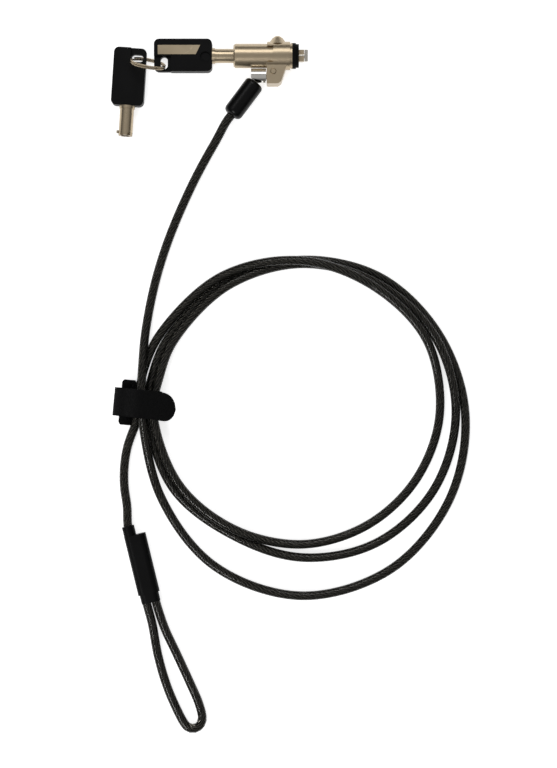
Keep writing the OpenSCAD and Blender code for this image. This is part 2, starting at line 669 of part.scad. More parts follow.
module key_1_bow() as_key_1() bow();
module key_1_tube() as_key_1() key_tube();
module key_1_washer() as_key_1() key_washer();
module key_1_label() as_key_1() label_plate();
module key_2_bow() as_key_2() bow();
module key_2_tube() as_key_2() key_tube();
module key_2_washer() as_key_2() key_washer();
module key_2_label() as_key_2() label_plate();

// the ring's wire makes nearly two turns, with one step between them
ring_step = 10;
ring_turn = 690;
function ring_rise(a) = a < 330 ? -0.5 : a > 360 ? 0.5 : -cos((a - 330) * 6) / 2;
ring_points = [for (a = [0:ring_step:ring_turn]) [ring_r * cos(a), ring_r * sin(a), ring_pitch * ring_rise(a)]];
module split_ring() color([0.8, 0.78, 0.74])
    translate(ring_at) rotate([0, 0, ring_yaw]) rotate([90 - ring_lean, 0, 0])
        sweep(ring_points, ring_wire_r, 8);

lock_barrel();
nose_piece();
roll_pin();
spacer_sleeve();
rubber_washer();
lock_core();
pin_tumblers();
tumbler_springs();
t_bar();
collar();
collar_pin();
swivel_axle();
lug_rivet();
swivel_link();
link_pin();
cable_terminal();
cable_boot();
cable_lead();
cable_coil();
cable_tail();
cable_eye();
crimp_sleeve();
sleeve_neck();
sleeve_ring();
strap_band();
strap_head();
key_1_bow();
key_1_tube();
key_1_washer();
key_1_label();
key_2_bow();
key_2_tube();
key_2_washer();
key_2_label();
split_ring();
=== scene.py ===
"""Laptop cable lock: the cable, the strap and the finishes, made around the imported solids."""

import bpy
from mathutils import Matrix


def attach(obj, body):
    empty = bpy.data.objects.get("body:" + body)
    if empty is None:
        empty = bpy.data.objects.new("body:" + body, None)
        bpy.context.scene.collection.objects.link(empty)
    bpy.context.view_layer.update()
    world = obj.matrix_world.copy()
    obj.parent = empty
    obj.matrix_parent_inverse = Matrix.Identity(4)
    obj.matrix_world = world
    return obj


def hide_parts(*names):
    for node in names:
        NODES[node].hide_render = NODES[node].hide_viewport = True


bl_info = {
    "name": "Laptop Cable Lock",
    "version": (1, 0, 0),
    "blender": (4, 5, 0),
    "location": "View3D > Sidebar > Cable Lock",
    "description": "Makes the lock's cable, strap, finishes and studio around its solids",
    "category": "Object",
}

import math

import bpy
import numpy as np
from mathutils import Vector

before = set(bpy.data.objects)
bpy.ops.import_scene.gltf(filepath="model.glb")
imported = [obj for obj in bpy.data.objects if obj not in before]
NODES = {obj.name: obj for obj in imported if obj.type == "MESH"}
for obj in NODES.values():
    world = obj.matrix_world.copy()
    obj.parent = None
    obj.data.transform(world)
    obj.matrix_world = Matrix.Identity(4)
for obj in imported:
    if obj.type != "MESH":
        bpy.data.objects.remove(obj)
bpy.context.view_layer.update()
MM = 0.001
MIDDLE = (0.0345, -0.14875)

# ---- where the cable runs, in millimetres ----

BOOT_START = (23.105, 1.61, 7.0)
BOOT_TURN = math.radians(53.13)
BOOT_LEN = 20.5
SLEEVE_AT = (-37.5, -224.25, 3.2)
SLEEVE_TURN = math.radians(-76.3)
SLEEVE_LEN = 30.2
CHANNEL_PITCH = 4.65
NECK_LEN = 5.0
RING_LEN = 4.5
COIL_CENTRE = (46.25, -163.75)
STRAP_Y = -158.7
STRAP_X = -33.0
STRAP_TURN = math.radians(-5.5)
FLOOR_GAP = 2.3

# ---- how the cable's turns lie over each other, and how its strands fill the jacket ----

ROUTE_STEP = 2.0
ROUTE_SLOPE = 0.25
TURN_GAP = 0.15
STRAP_REACH = 7.5
STRAP_RISE = 1.35
JACKET_SIDES = 16
STRAND_SIDES = 8
STRAND_STEP = 1.6
STRAND_R = 0.72
STRAND_GAP = 0.04

# ---- the strap's head with its slot, its crowned upper layer and its rounded, drifting tab ----

STRAP_STEP = 0.6
STRAP_COLUMNS = 24
HEAD_LEN = 9.5
HEAD_SHOULDER = 1.5
HEAD_ROUNDING = 1.2
SLOT_FROM, SLOT_TO = 1.3, 3.3
SLOT_MARGIN = 0.6
UPPER_LEN = 40
UPPER_CROWN = 0.22
TAB_LEN = 14
TAB_DRIFT = 1.4
TAB_CURVE = 2.6
EDGE_BEVEL = 0.3
PILE_GRAIN = 0.9
PILE_HEIGHT = 0.14

# ---- finishes and lamps that no setting changes ----

T_BAR_TONES = ((0.66, 0.62, 0.55), (0.56, 0.53, 0.48))
LINK_TONES = ((0.78, 0.76, 0.72), (0.72, 0.70, 0.66))
FLOOR_GLOW = 0.72
LIGHT_AIM = (0.03, -0.14, 0.0)
KEY_PLACE, KEY_SIZE = (-0.45, -0.75, 0.75), (0.45, 0.45)
FILL_PLACE, FILL_SIZE = (-0.1, 0.75, 1.0), (0.8, 0.5)

# each turn of the coil: its height order where turns cross, its distance from the coil's
# centre as it leaves the strap, and then at every 30 degrees until it is back at the strap
TURNS = (
    (0, 79.8, (82.0, 88.0, 91.2, 89.7, 85.5, 81.9, 79.4, 79.0, 77.2, 76.6, 77.0, 77.4)),
    (1, 77.3, (74.6, 70.1, 72.0, 74.7, 76.3, 77.1, 76.8, 75.4, 75.0, 74.0, 73.8, 73.6)),
    (2, 74.2, (70.9, 66.8, 65.4, 64.7, 66.0, 69.1, 72.3, 72.9, 76.2, 79.6, 81.4, 82.3)),
)
TURN_DEGREES = tuple(range(210, 540, 30)) + (525,)
LEAD_ORDER = 4


def along_boot(distance):
    """A point on the boot's axis, at a distance from its start."""
    return (
        BOOT_START[0] - math.cos(BOOT_TURN) * distance,
        BOOT_START[1] - math.sin(BOOT_TURN) * distance,
        BOOT_START[2],
    )


def in_sleeve(side, distance):
    """A point in one of the sleeve's two channels, at a distance from its upper end."""
    c, s = math.cos(SLEEVE_TURN), math.sin(SLEEVE_TURN)
    off = side * CHANNEL_PITCH / 2
    return (
        SLEEVE_AT[0] + distance * c - off * s,
        SLEEVE_AT[1] + distance * s + off * c,
        SLEEVE_AT[2],
    )


LEAD = (
    along_boot(5), along_boot(BOOT_LEN), along_boot(BOOT_LEN + 4),
    (3.6, -26.8, 6), (-0.8, -34.3, 5), (-5, -41.8, 3.9), (-8.9, -49.3, 3), (-15.8, -64.3, 2.4),
    (-21.7, -79.3, 2.3), (-26.4, -94.3, 2.3), (-29.9, -109.3, 2.3), (-32.3, -124.3, 2.3),
    (-33.2, -137, 3), (-33.6, -147, 4.2),
)
TAIL = (
    (-36.3, -165.5, 4.2), (-37.3, -169.5, 3.7), (-39.1, -174, 2.9), (-41.3, -180.5, 2.3),
    (-42.8, -190, 2.3), (-42.8, -200, 2.4), (-41.4, -210, 2.9),
    in_sleeve(-1, -NECK_LEN), in_sleeve(-1, 0.2),
)
EYE = (
    in_sleeve(-1, SLEEVE_LEN - 1), in_sleeve(-1, SLEEVE_LEN + RING_LEN),
    (-28.8, -269, 2.5), (-26.1, -284, 2.3), (-22.2, -298, 2.3), (-17.9, -308.8, 2.3),
    (-12.7, -318.9, 2.3), (-10.7, -321, 2.3), (-8.2, -321.6, 2.3), (-5.8, -320.7, 2.3),
    (-4.2, -318.8, 2.3), (-3.7, -316.2, 2.3), (-5.4, -309, 2.3), (-9.6, -299.2, 2.3),
    (-16.5, -284.2, 2.3), (-22.6, -271, 2.5),
    in_sleeve(1, SLEEVE_LEN + RING_LEN), in_sleeve(1, SLEEVE_LEN - 1),
)

# the strap's own line, seen along the cable: head, round the bundle, through the head, tab
STRAP_LINE = (
    (-44.4, 5.0), (-41.9, 5.4), (-40.2, 4.8), (-39.3, 2.7), (-37.6, 0.98), (-35.0, 0.76),
    (-31.0, 0.76), (-28.0, 1.35), (-25.8, 3.6), (-24.9, 6.6), (-25.7, 9.4), (-28.6, 10.8),
    (-32.4, 11.5), (-35.2, 11.3), (-37.6, 9.9), (-39.7, 8.3), (-41.5, 6.4), (-42.5, 4.0),
    (-45.6, 2.9), (-47.1, 4.2), (-47.0, 6.4), (-45.2, 8.1), (-41.6, 9.6), (-38.4, 11.4),
    (-35.4, 12.75), (-32.2, 12.9), (-28.4, 12.2), (-24.4, 11.0), (-20.6, 9.9), (-17.0, 9.3),
)


def smooth_line(points, per_span):
    """A smooth curve through points, as an array, with the number of the point before each one."""
    given = np.array(points, float)
    ends = np.vstack([2 * given[0] - given[1], given, 2 * given[-1] - given[-2]])
    line, number = [], []
    for i in range(1, len(ends) - 2):
        p = ends[i - 1:i + 3]
        t = np.concatenate([[0], np.cumsum(np.sqrt(np.linalg.norm(np.diff(p, axis=0), axis=1)))])
        for k in range(per_span):
            x = t[1] + (t[2] - t[1]) * k / per_span
            a = [(t[j + 1] - x) / (t[j + 1] - t[j]) * p[j] + (x - t[j]) / (t[j + 1] - t[j]) * p[j + 1]
                 for j in range(3)]
            b = [(t[j + 2] - x) / (t[j + 2] - t[j]) * a[j] + (x - t[j]) / (t[j + 2] - t[j]) * a[j + 1]
                 for j in range(2)]
            line.append((t[2] - x) / (t[2] - t[1]) * b[0] + (x - t[1]) / (t[2] - t[1]) * b[1])
            number.append(i - 1 + k / per_span)
    line.append(given[-1])
    number.append(len(given) - 1)
    return np.array(line), np.array(number)


def even_steps(line, step, *along):
    """The line at even steps, and each further array at the same places."""
    run = np.concatenate([[0], np.cumsum(np.linalg.norm(np.diff(line, axis=0), axis=1))])
    at = np.linspace(0, run[-1], max(2, int(round(run[-1] / step)) + 1))
    even = np.stack([np.interp(at, run, line[:, k]) for k in range(line.shape[1])], axis=1)
    return [even, at] + [np.interp(at, run, a) for a in along]


def cable_route(cable_d):
    """The cable's centreline in millimetres: turns that cross are lifted over each other."""
    points, order = list(LEAD), [LEAD_ORDER] * len(LEAD)
    for turn, (height_order, leaving, radii) in enumerate(TURNS):
        spots = [(180, leaving)] + list(zip(TURN_DEGREES, radii))
        for degrees, radius in spots:
            a = math.radians(degrees)
            points.append((COIL_CENTRE[0] + radius * math.cos(a),
                           COIL_CENTRE[1] + radius * math.sin(a), FLOOR_GAP))
            order.append(LEAD_ORDER if turn == 0 and degrees == 180 else height_order)
    points += TAIL + EYE
    order += [TURNS[-1][0]] * (len(TAIL) + len(EYE))
    line, number = smooth_line(points, 24)
    line, run, number = even_steps(line, ROUTE_STEP, number)
    layer = np.array(order)[np.floor(number).astype(int).clip(0, len(order) - 1)]
    x, y, z = line.T
    under_strap = (np.abs(y - STRAP_Y) < STRAP_REACH) & (x < 0)
    z = np.where(under_strap, np.maximum(z, FLOOR_GAP + STRAP_RISE), z)
    flat = np.hypot(x[:, None] - x, y[:, None] - y)
    apart = cable_d + TURN_GAP
    lies_on = (flat < apart) & (np.abs(run[:, None] - run) > 30) & (layer[:, None] > layer)
    lift = np.where(lies_on, np.sqrt(np.maximum(apart ** 2 - flat ** 2, 0)), -99)
    for _ in range(30):
        before = z.copy()
        z = np.maximum(z, np.where(lies_on, z + lift, -99).max(axis=1))
        for i in range(1, len(z)):
            z[i] = max(z[i], z[i - 1] - ROUTE_SLOPE * ROUTE_STEP)
        for i in range(len(z) - 2, -1, -1):
            z[i] = max(z[i], z[i + 1] - ROUTE_SLOPE * ROUTE_STEP)
        if np.abs(z - before).max() < 1e-6:
            break
    for _ in range(2):
        z = np.convolve(np.pad(z, 3, mode="edge"), np.ones(7) / 7, mode="valid")
    return np.stack([x, y, z], axis=1)


def carried_frames(line):
    """Unit tangents and two sideways directions along a line, without twist."""
    tangents = np.gradient(line, axis=0)
    tangents /= np.linalg.norm(tangents, axis=1)[:, None]
    side = np.cross(tangents[0], (0, 0, 1))
    side /= np.linalg.norm(side)
    sides = [side]
    for t in tangents[1:]:
        side = side - t * (side @ t)
        side /= np.linalg.norm(side)
        sides.append(side)
    sides = np.array(sides)
    return tangents, sides, np.cross(tangents, sides)


def new_object(name, vertices, faces, uvs=None):
    """A mesh object in the scene, smooth shaded, with a UV for each face corner where given."""
    mesh = bpy.data.meshes.new(name)
    mesh.from_pydata([tuple(v) for v in vertices], [], faces)
    mesh.polygons.foreach_set("use_smooth", [True] * len(mesh.polygons))
    if uvs is not None:
        layer = mesh.uv_layers.new(name="UVMap")
        layer.data.foreach_set("uv", np.array(uvs, np.float32).ravel())
    mesh.validate()
    mesh.update()
    piece = bpy.data.objects.new(name, mesh)
    bpy.context.scene.collection.objects.link(piece)
    return piece


def tube_rings(line, radius, sides):
    """Ring vertices of a tube round a line, ring by ring."""
    _, across, up = carried_frames(line)
    a = np.arange(sides) * 2 * math.pi / sides
    return line[:, None, :] + radius * (
        np.cos(a)[None, :, None] * across[:, None, :] + np.sin(a)[None, :, None] * up[:, None, :])


def tube_faces(rings, sides, first=0):
    """Faces and UVs of a closed tube. U runs along it in rings, V goes once round it."""
    faces, uvs = [], []
    for i in range(rings - 1):
        for k in range(sides):
            n = (k + 1) % sides
            faces.append((first + i * sides + k, first + i * sides + n,
                          first + (i + 1) * sides + n, first + (i + 1) * sides + k))
            low, high = k / sides, (k + 1) / sides
            uvs += [(i, low), (i, high), (i + 1, high), (i + 1, low)]
    start = tuple(first + k for k in reversed(range(sides)))
    end = tuple(first + (rings - 1) * sides + k for k in range(sides))
    faces += [start, end]
    uvs += [(0, k / sides) for k in reversed(range(sides))]
    uvs += [(rings - 1, k / sides) for k in range(sides)]
    return faces, uvs


def only(piece):
    """Selects one piece and makes it active."""
    bpy.ops.object.select_all(action="DESELECT")
    piece.select_set(True)
    bpy.context.view_layer.objects.active = piece


# ---- shader groups and materials ----


def node_group(name, inputs, outputs):
    """A shader group with named sockets, as (tree, its input node, its output node)."""
    tree = bpy.data.node_groups.new(name, "ShaderNodeTree")
    for label, kind, value in inputs:
        socket = tree.interface.new_socket(label, in_out="INPUT", socket_type="NodeSocket" + kind)
        if value is not None:
            socket.default_value = value
    for label, kind in outputs:
        tree.interface.new_socket(label, in_out="OUTPUT", socket_type="NodeSocket" + kind)
    return tree, tree.nodes.new("NodeGroupInput"), tree.nodes.new("NodeGroupOutput")


def add(tree, kind, values=None, **settings):
    """A node with its settings and its input values."""
    node = tree.nodes.new("ShaderNode" + kind)
    for key, value in settings.items():
        setattr(node, key, value)
    for key, value in (values or {}).items():
        node.inputs[key].default_value = value
    return node


def ramp(tree, source, low, high):
    """Stretches a value so that low becomes 0 and high becomes 1."""
    node = add(tree, "MapRange", {"From Min": low, "From Max": high})
    tree.links.new(source, node.inputs["Value"])
    return node.outputs["Result"]


def combine(tree, operation, *values):
    """One math step on its values, each a socket or a number."""
    node = add(tree, "Math", operation=operation)
    for i, value in enumerate(values):
        if isinstance(value, (int, float)):
            node.inputs[i].default_value = value
        else:
            tree.links.new(value, node.inputs[i])
    return node.outputs[0]


def build_groups():
    """The effects that more than one material uses."""
    tree, given, out = node_group(
        "Fine grain",
        [("Vector", "Vector", None), ("Scale", "Float", 900.0), ("Drift Scale", "Float", 60.0)],
        [("Grain", "Float"), ("Drift", "Float")])
    fine = add(tree, "TexNoise", {"Detail": 3.0, "Roughness": 0.6})
    broad = add(tree, "TexNoise", {"Detail": 2.0, "Roughness": 0.5})
    for node, scale in ((fine, "Scale"), (broad, "Drift Scale")):
        tree.links.new(given.outputs["Vector"], node.inputs["Vector"])
        tree.links.new(given.outputs[scale], node.inputs["Scale"])
    tree.links.new(ramp(tree, fine.outputs["Fac"], 0.3, 0.7), out.inputs["Grain"])
    tree.links.new(ramp(tree, broad.outputs["Fac"], 0.35, 0.65), out.inputs["Drift"])

    tree, given, out = node_group(
        "Handling marks",
        [("Vector", "Vector", None), ("Scale", "Float", 220.0), ("Cover", "Float", 0.35)],
        [("Marks", "Float")])
    warp = add(tree, "TexNoise", {"Scale": 180.0, "Detail": 1.0})
    bent = add(tree, "VectorMath", operation="MULTIPLY_ADD")
    bent.inputs[1].default_value = (0.004, 0.004, 0.004)
    lines = add(tree, "TexVoronoi", feature="DISTANCE_TO_EDGE")
    tree.links.new(given.outputs["Vector"], warp.inputs["Vector"])
    tree.links.new(warp.outputs["Color"], bent.inputs[0])
    tree.links.new(given.outputs["Vector"], bent.inputs[2])
    tree.links.new(bent.outputs["Vector"], lines.inputs["Vector"])
    tree.links.new(given.outputs["Scale"], lines.inputs["Scale"])
    thin = ramp(tree, lines.outputs["Distance"], 0.02, 0.0)
    patch = add(tree, "TexNoise", {"Scale": 260.0, "Detail": 2.0})
    tree.links.new(given.outputs["Vector"], patch.inputs["Vector"])
    where = combine(tree, "LESS_THAN", patch.outputs["Fac"], given.outputs["Cover"])
    tree.links.new(combine(tree, "MULTIPLY", thin, where), out.inputs["Marks"])

    tree, given, out = node_group(
        "Woven pile",
        [("Vector", "Vector", None), ("Loops", "Float", 2600.0), ("Ribs", "Float", 900.0)],
        [("Height", "Float"), ("Fluff", "Float")])
    loops = add(tree, "TexVoronoi", feature="F1")
    ribs = add(tree, "TexWave", {"Distortion": 1.2, "Detail": 1.0}, wave_type="BANDS",
               bands_direction="X")
    fluff = add(tree, "TexNoise", {"Scale": 700.0, "Detail": 4.0, "Roughness": 0.7})
    for node in (loops, ribs, fluff):
        tree.links.new(given.outputs["Vector"], node.inputs["Vector"])
    tree.links.new(given.outputs["Loops"], loops.inputs["Scale"])
    tree.links.new(given.outputs["Ribs"], ribs.inputs["Scale"])
    domes = ramp(tree, loops.outputs["Distance"], 0.6, 0.0)
    tree.links.new(combine(tree, "ADD", domes, combine(tree, "MULTIPLY", ribs.outputs["Fac"], 0.35)),
                   out.inputs["Height"])
    tree.links.new(ramp(tree, fluff.outputs["Fac"], 0.35, 0.65), out.inputs["Fluff"])

    tree, given, out = node_group(
        "Wire lay",
        [("Vector", "Vector", None), ("Wires", "Float", 6.0), ("Turns", "Float", 0.12)],
        [("Height", "Float")])
    split = add(tree, "SeparateXYZ")
    tree.links.new(given.outputs["Vector"], split.inputs["Vector"])
    around = combine(tree, "MULTIPLY", split.outputs["Y"], given.outputs["Wires"])
    along = combine(tree, "MULTIPLY", split.outputs["X"], given.outputs["Turns"])
    angle = combine(tree, "MULTIPLY", combine(tree, "ADD", around, along), 2 * math.pi)
    wave = combine(tree, "SINE", angle)
    tree.links.new(ramp(tree, wave, -1.0, 1.0), out.inputs["Height"])


def put_group(tree, name, vector, **values):
    """Places a shader group in a material, with its own values."""
    node = tree.nodes.new("ShaderNodeGroup")
    node.node_tree = bpy.data.node_groups[name]
    for key, value in values.items():
        node.inputs[key.replace("_", " ")].default_value = value
    tree.links.new(vector, node.inputs["Vector"])
    return node


def start_material(name, stretch=(1.0, 1.0, 1.0), uv=False, **constants):
    """A material with its shader's plain values set, as (material, shader, pattern vector)."""
    material = bpy.data.materials.new(name)
    material.use_nodes = True
    tree = material.node_tree
    shader = tree.nodes["Principled BSDF"]
    for key, value in constants.items():
        shader.inputs[key.replace("_", " ")].default_value = value
    place = add(tree, "Mapping", {"Scale": stretch})
    if uv:
        source = add(tree, "UVMap", uv_map="UVMap").outputs["UV"]
    else:
        source = add(tree, "TexCoord").outputs["Object"]
    tree.links.new(source, place.inputs["Vector"])
    return material, shader, place.outputs["Vector"]


def two_tones(tree, shader, mask, low, high):
    """Base colour from one tone to another by a mask."""
    mix = add(tree, "Mix", data_type="RGBA")
    mix.inputs["A"].default_value = (*low, 1.0)
    mix.inputs["B"].default_value = (*high, 1.0)
    tree.links.new(mask, mix.inputs["Factor"])
    tree.links.new(mix.outputs["Result"], shader.inputs["Base Color"])
    return mix


def rough_between(tree, shader, mask, low, high):
    """Roughness from low to high by a mask."""
    node = add(tree, "MapRange", {"To Min": low, "To Max": high})
    tree.links.new(mask, node.inputs["Value"])
    tree.links.new(node.outputs["Result"], shader.inputs["Roughness"])


def bump(tree, shader, height, distance):
    """Surface relief of a height map, in metres."""
    node = add(tree, "Bump", {"Distance": distance, "Strength": 1.0})
    tree.links.new(height, node.inputs["Height"])
    tree.links.new(node.outputs["Normal"], shader.inputs["Normal"])


def metal(name, tone, dark, smooth, rough, stretch=(1.0, 1.0, 1.0), grain=2400.0, relief=6e-7):
    """A bare or plated metal with grain, tone drift and handling marks."""
    material, shader, vector = start_material(name, stretch, Metallic=1.0)
    tree = material.node_tree
    skin = put_group(tree, "Fine grain", vector, Scale=grain, Drift_Scale=110.0)
    marks = put_group(tree, "Handling marks", vector, Scale=240.0, Cover=0.42)
    two_tones(tree, shader, skin.outputs["Drift"], dark, tone)
    uneven = combine(tree, "MAXIMUM", combine(tree, "MULTIPLY", skin.outputs["Grain"], 0.7),
                     marks.outputs["Marks"])
    rough_between(tree, shader, uneven, smooth, rough)
    bump(tree, shader, skin.outputs["Grain"], relief)
    return material


def plastic(name, tone, dark, smooth, rough, grain=2200.0, relief=8e-6, shine=0.08):
    """A moulded plastic or rubber with stippled skin and faint scuffs."""
    material, shader, vector = start_material(name, Specular_IOR_Level=shine)
    tree = material.node_tree
    skin = put_group(tree, "Fine grain", vector, Scale=grain, Drift_Scale=90.0)
    marks = put_group(tree, "Handling marks", vector, Scale=180.0, Cover=0.4)
    colour = two_tones(tree, shader, skin.outputs["Drift"], dark, tone)
    scuff = [min(1.0, 2.0 * c + 0.004) for c in tone]
    scuffed = add(tree, "Mix", {"B": (*scuff, 1.0)}, data_type="RGBA")
    tree.links.new(combine(tree, "MULTIPLY", marks.outputs["Marks"], 0.35), scuffed.inputs["Factor"])
    tree.links.new(colour.outputs["Result"], scuffed.inputs["A"])
    tree.links.new(scuffed.outputs["Result"], shader.inputs["Base Color"])
    rough_between(tree, shader, skin.outputs["Grain"], smooth, rough)
    bump(tree, shader, skin.outputs["Grain"], relief)
    return material


def give(names, material):
    """Puts one material on CAD nodes or pieces, in all their slots."""
    for name in names:
        piece = NODES[name] if name in NODES else bpy.data.objects[name]
        if not piece.material_slots:
            piece.data.materials.append(material)
        for place in piece.material_slots:
            place.material = material


# ---- settings ----


class CableLockSizes(bpy.types.PropertyGroup):
    """Sizes of the cable and of its strap."""

    cable_diameter: bpy.props.FloatProperty(
        name="Cable diameter", description="Outside of the cable's clear jacket",
        default=4.5 * MM, min=3 * MM, max=6 * MM, subtype="DISTANCE", unit="LENGTH")
    strand_count: bpy.props.IntProperty(
        name="Strands", description="Steel strands laid round the cable's core",
        default=6, min=5, max=12)
    lay_length: bpy.props.FloatProperty(
        name="Lay length", description="Length of cable in which a strand goes once round it",
        default=15 * MM, min=6 * MM, max=40 * MM, subtype="DISTANCE", unit="LENGTH")
    strap_width: bpy.props.FloatProperty(
        name="Strap width", description="Width of the strap's band",
        default=14 * MM, min=8 * MM, max=20 * MM, subtype="DISTANCE", unit="LENGTH")
    strap_head_width: bpy.props.FloatProperty(
        name="Strap head width", description="Width of the strap's slotted head",
        default=22.6 * MM, min=14 * MM, max=30 * MM, subtype="DISTANCE", unit="LENGTH")
    strap_thickness: bpy.props.FloatProperty(
        name="Strap thickness", description="Thickness of the strap's hook and loop fabric",
        default=1.25 * MM, min=0.5 * MM, max=2 * MM, subtype="DISTANCE", unit="LENGTH")


class CableLockColours(bpy.types.PropertyGroup):
    """Colours of the lock's finishes."""

    nickel: bpy.props.FloatVectorProperty(
        name="Satin nickel", description="Plating of the barrel, collar and nose",
        default=(0.46, 0.375, 0.26), subtype="COLOR", min=0, max=1)
    bright: bpy.props.FloatVectorProperty(
        name="Bright nickel", description="Plating of the key tubes, ring and T-bar",
        default=(0.46, 0.375, 0.26), subtype="COLOR", min=0, max=1)
    steel: bpy.props.FloatVectorProperty(
        name="Steel", description="Strands, pins and axle",
        default=(0.38, 0.355, 0.305), subtype="COLOR", min=0, max=1)
    brass: bpy.props.FloatVectorProperty(
        name="Brass", description="Lock core and tumblers",
        default=(0.72, 0.55, 0.28), subtype="COLOR", min=0, max=1)
    black: bpy.props.FloatVectorProperty(
        name="Black", description="Key bows, boot, sleeve, washer and strap",
        default=(0.0028, 0.0028, 0.003), subtype="COLOR", min=0, max=1)
    jacket: bpy.props.FloatVectorProperty(
        name="Jacket", description="Smoked tint of the cable's clear jacket",
        default=(0.006, 0.006, 0.005), subtype="COLOR", min=0, max=1)
    label: bpy.props.FloatVectorProperty(
        name="Label", description="Bare inset on the key's bow",
        default=(0.44, 0.36, 0.245), subtype="COLOR", min=0, max=1)


class CableLockStudio(bpy.types.PropertyGroup):
    """The camera and the light."""

    camera_height: bpy.props.FloatProperty(
        name="Camera height", description="Height of the camera above the floor",
        default=0.825, min=0.3, max=3, subtype="DISTANCE", unit="LENGTH")
    lens: bpy.props.FloatProperty(
        name="Lens", description="Focal length",
        default=76.9, min=20, max=200, subtype="DISTANCE_CAMERA")
    key_power: bpy.props.FloatProperty(
        name="Key light", description="Power of the small light", default=5.0, min=0, max=50,
        unit="POWER")
    fill_power: bpy.props.FloatProperty(
        name="Fill light", description="Power of the soft panel", default=4.0, min=0, max=50,
        unit="POWER")
    horizon: bpy.props.FloatProperty(
        name="Horizon", description="Brightness of the room near the floor", default=0.15, min=0, max=1)
    ceiling: bpy.props.FloatProperty(
        name="Ceiling", description="Brightness of the room overhead", default=0.55, min=0, max=1)


# ---- operators ----


class CABLELOCK_OT_camera(bpy.types.Operator):
    """Places the camera straight above the lock"""

    bl_idname = "cable_lock.camera"
    bl_label = "Camera"

    def execute(self, context):
        studio = context.scene.cable_lock_studio
        lens = bpy.data.cameras.new("camera")
        lens.sensor_fit = "AUTO"
        lens.sensor_width = 36.0
        lens.lens = studio.lens
        lens.clip_start = 0.01
        lens.clip_end = 10.0
        camera = bpy.data.objects.new("camera", lens)
        camera.location = (*MIDDLE, studio.camera_height)
        context.scene.collection.objects.link(camera)
        context.scene.camera = camera
        return {"FINISHED"}


class CABLELOCK_OT_cable(bpy.types.Operator):
    """Lays the cable: steel strands in a smoked jacket, coiled three times"""

    bl_idname = "cable_lock.cable"
    bl_label = "Cable"

    def execute(self, context):
        sizes = context.scene.cable_lock_sizes
        colours = context.scene.cable_lock_colours
        d = sizes.cable_diameter / MM
        line = cable_route(d)
        rings = tube_rings(line, d / 2, JACKET_SIDES)
        faces, uvs = tube_faces(len(line), JACKET_SIDES)
        jacket = new_object("cable", rings.reshape(-1, 3) * MM, faces, uvs)

        fine, _ = smooth_line(line[::3], 4)
        fine, at = even_steps(fine, STRAND_STEP)
        _, across, up = carried_frames(fine)
        lay_r = d / 2 - STRAND_R - STRAND_GAP
        vertices, all_faces, all_uvs = [], [], []
        for k in range(sizes.strand_count):
            a = 2 * math.pi * (k / sizes.strand_count + at * MM / sizes.lay_length)
            centre = fine + lay_r * (np.cos(a)[:, None] * across + np.sin(a)[:, None] * up)
            strand = tube_rings(centre, STRAND_R, STRAND_SIDES)
            part, part_uvs = tube_faces(len(centre), STRAND_SIDES, len(vertices))
            vertices += list(strand.reshape(-1, 3) * MM)
            all_faces += part
            all_uvs += part_uvs
        strands = new_object("cable_strands", vertices, all_faces, all_uvs)

        glaze, shader, vector = start_material(
            "smoked jacket", Alpha=0.68, IOR=1.5, Specular_IOR_Level=0.22)
        tree = glaze.node_tree
        skin = put_group(tree, "Fine grain", vector, Scale=500.0, Drift_Scale=40.0)
        marks = put_group(tree, "Handling marks", vector, Scale=150.0, Cover=0.4)
        tint = tuple(colours.jacket)
        two_tones(tree, shader, skin.outputs["Drift"], tuple(0.7 * c for c in tint), tint)
        rough_between(tree, shader, marks.outputs["Marks"], 0.14, 0.32)
        bump(tree, shader, skin.outputs["Drift"], 2e-6)
        give(["cable"], glaze)

        wire, shader, vector = start_material("strand steel", uv=True, Metallic=1.0)
        tree = wire.node_tree
        lay = put_group(tree, "Wire lay", vector, Wires=4.0, Turns=0.3)
        steel = tuple(colours.steel)
        # painted shade between the wires: the steel darkens to 6% of its colour down in each groove of
        # the wire lay and is full steel on the crests
        two_tones(tree, shader, lay.outputs["Height"], tuple(0.06 * c for c in steel), steel)
        rough_between(tree, shader, lay.outputs["Height"], 0.5, 0.3)
        bump(tree, shader, lay.outputs["Height"], 1.5e-4)
        give(["cable_strands"], wire)

        for piece in (jacket, strands):
            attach(piece, "cable")
        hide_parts("cable_lead", "cable_coil", "cable_tail", "cable_eye")
        return {"FINISHED"}


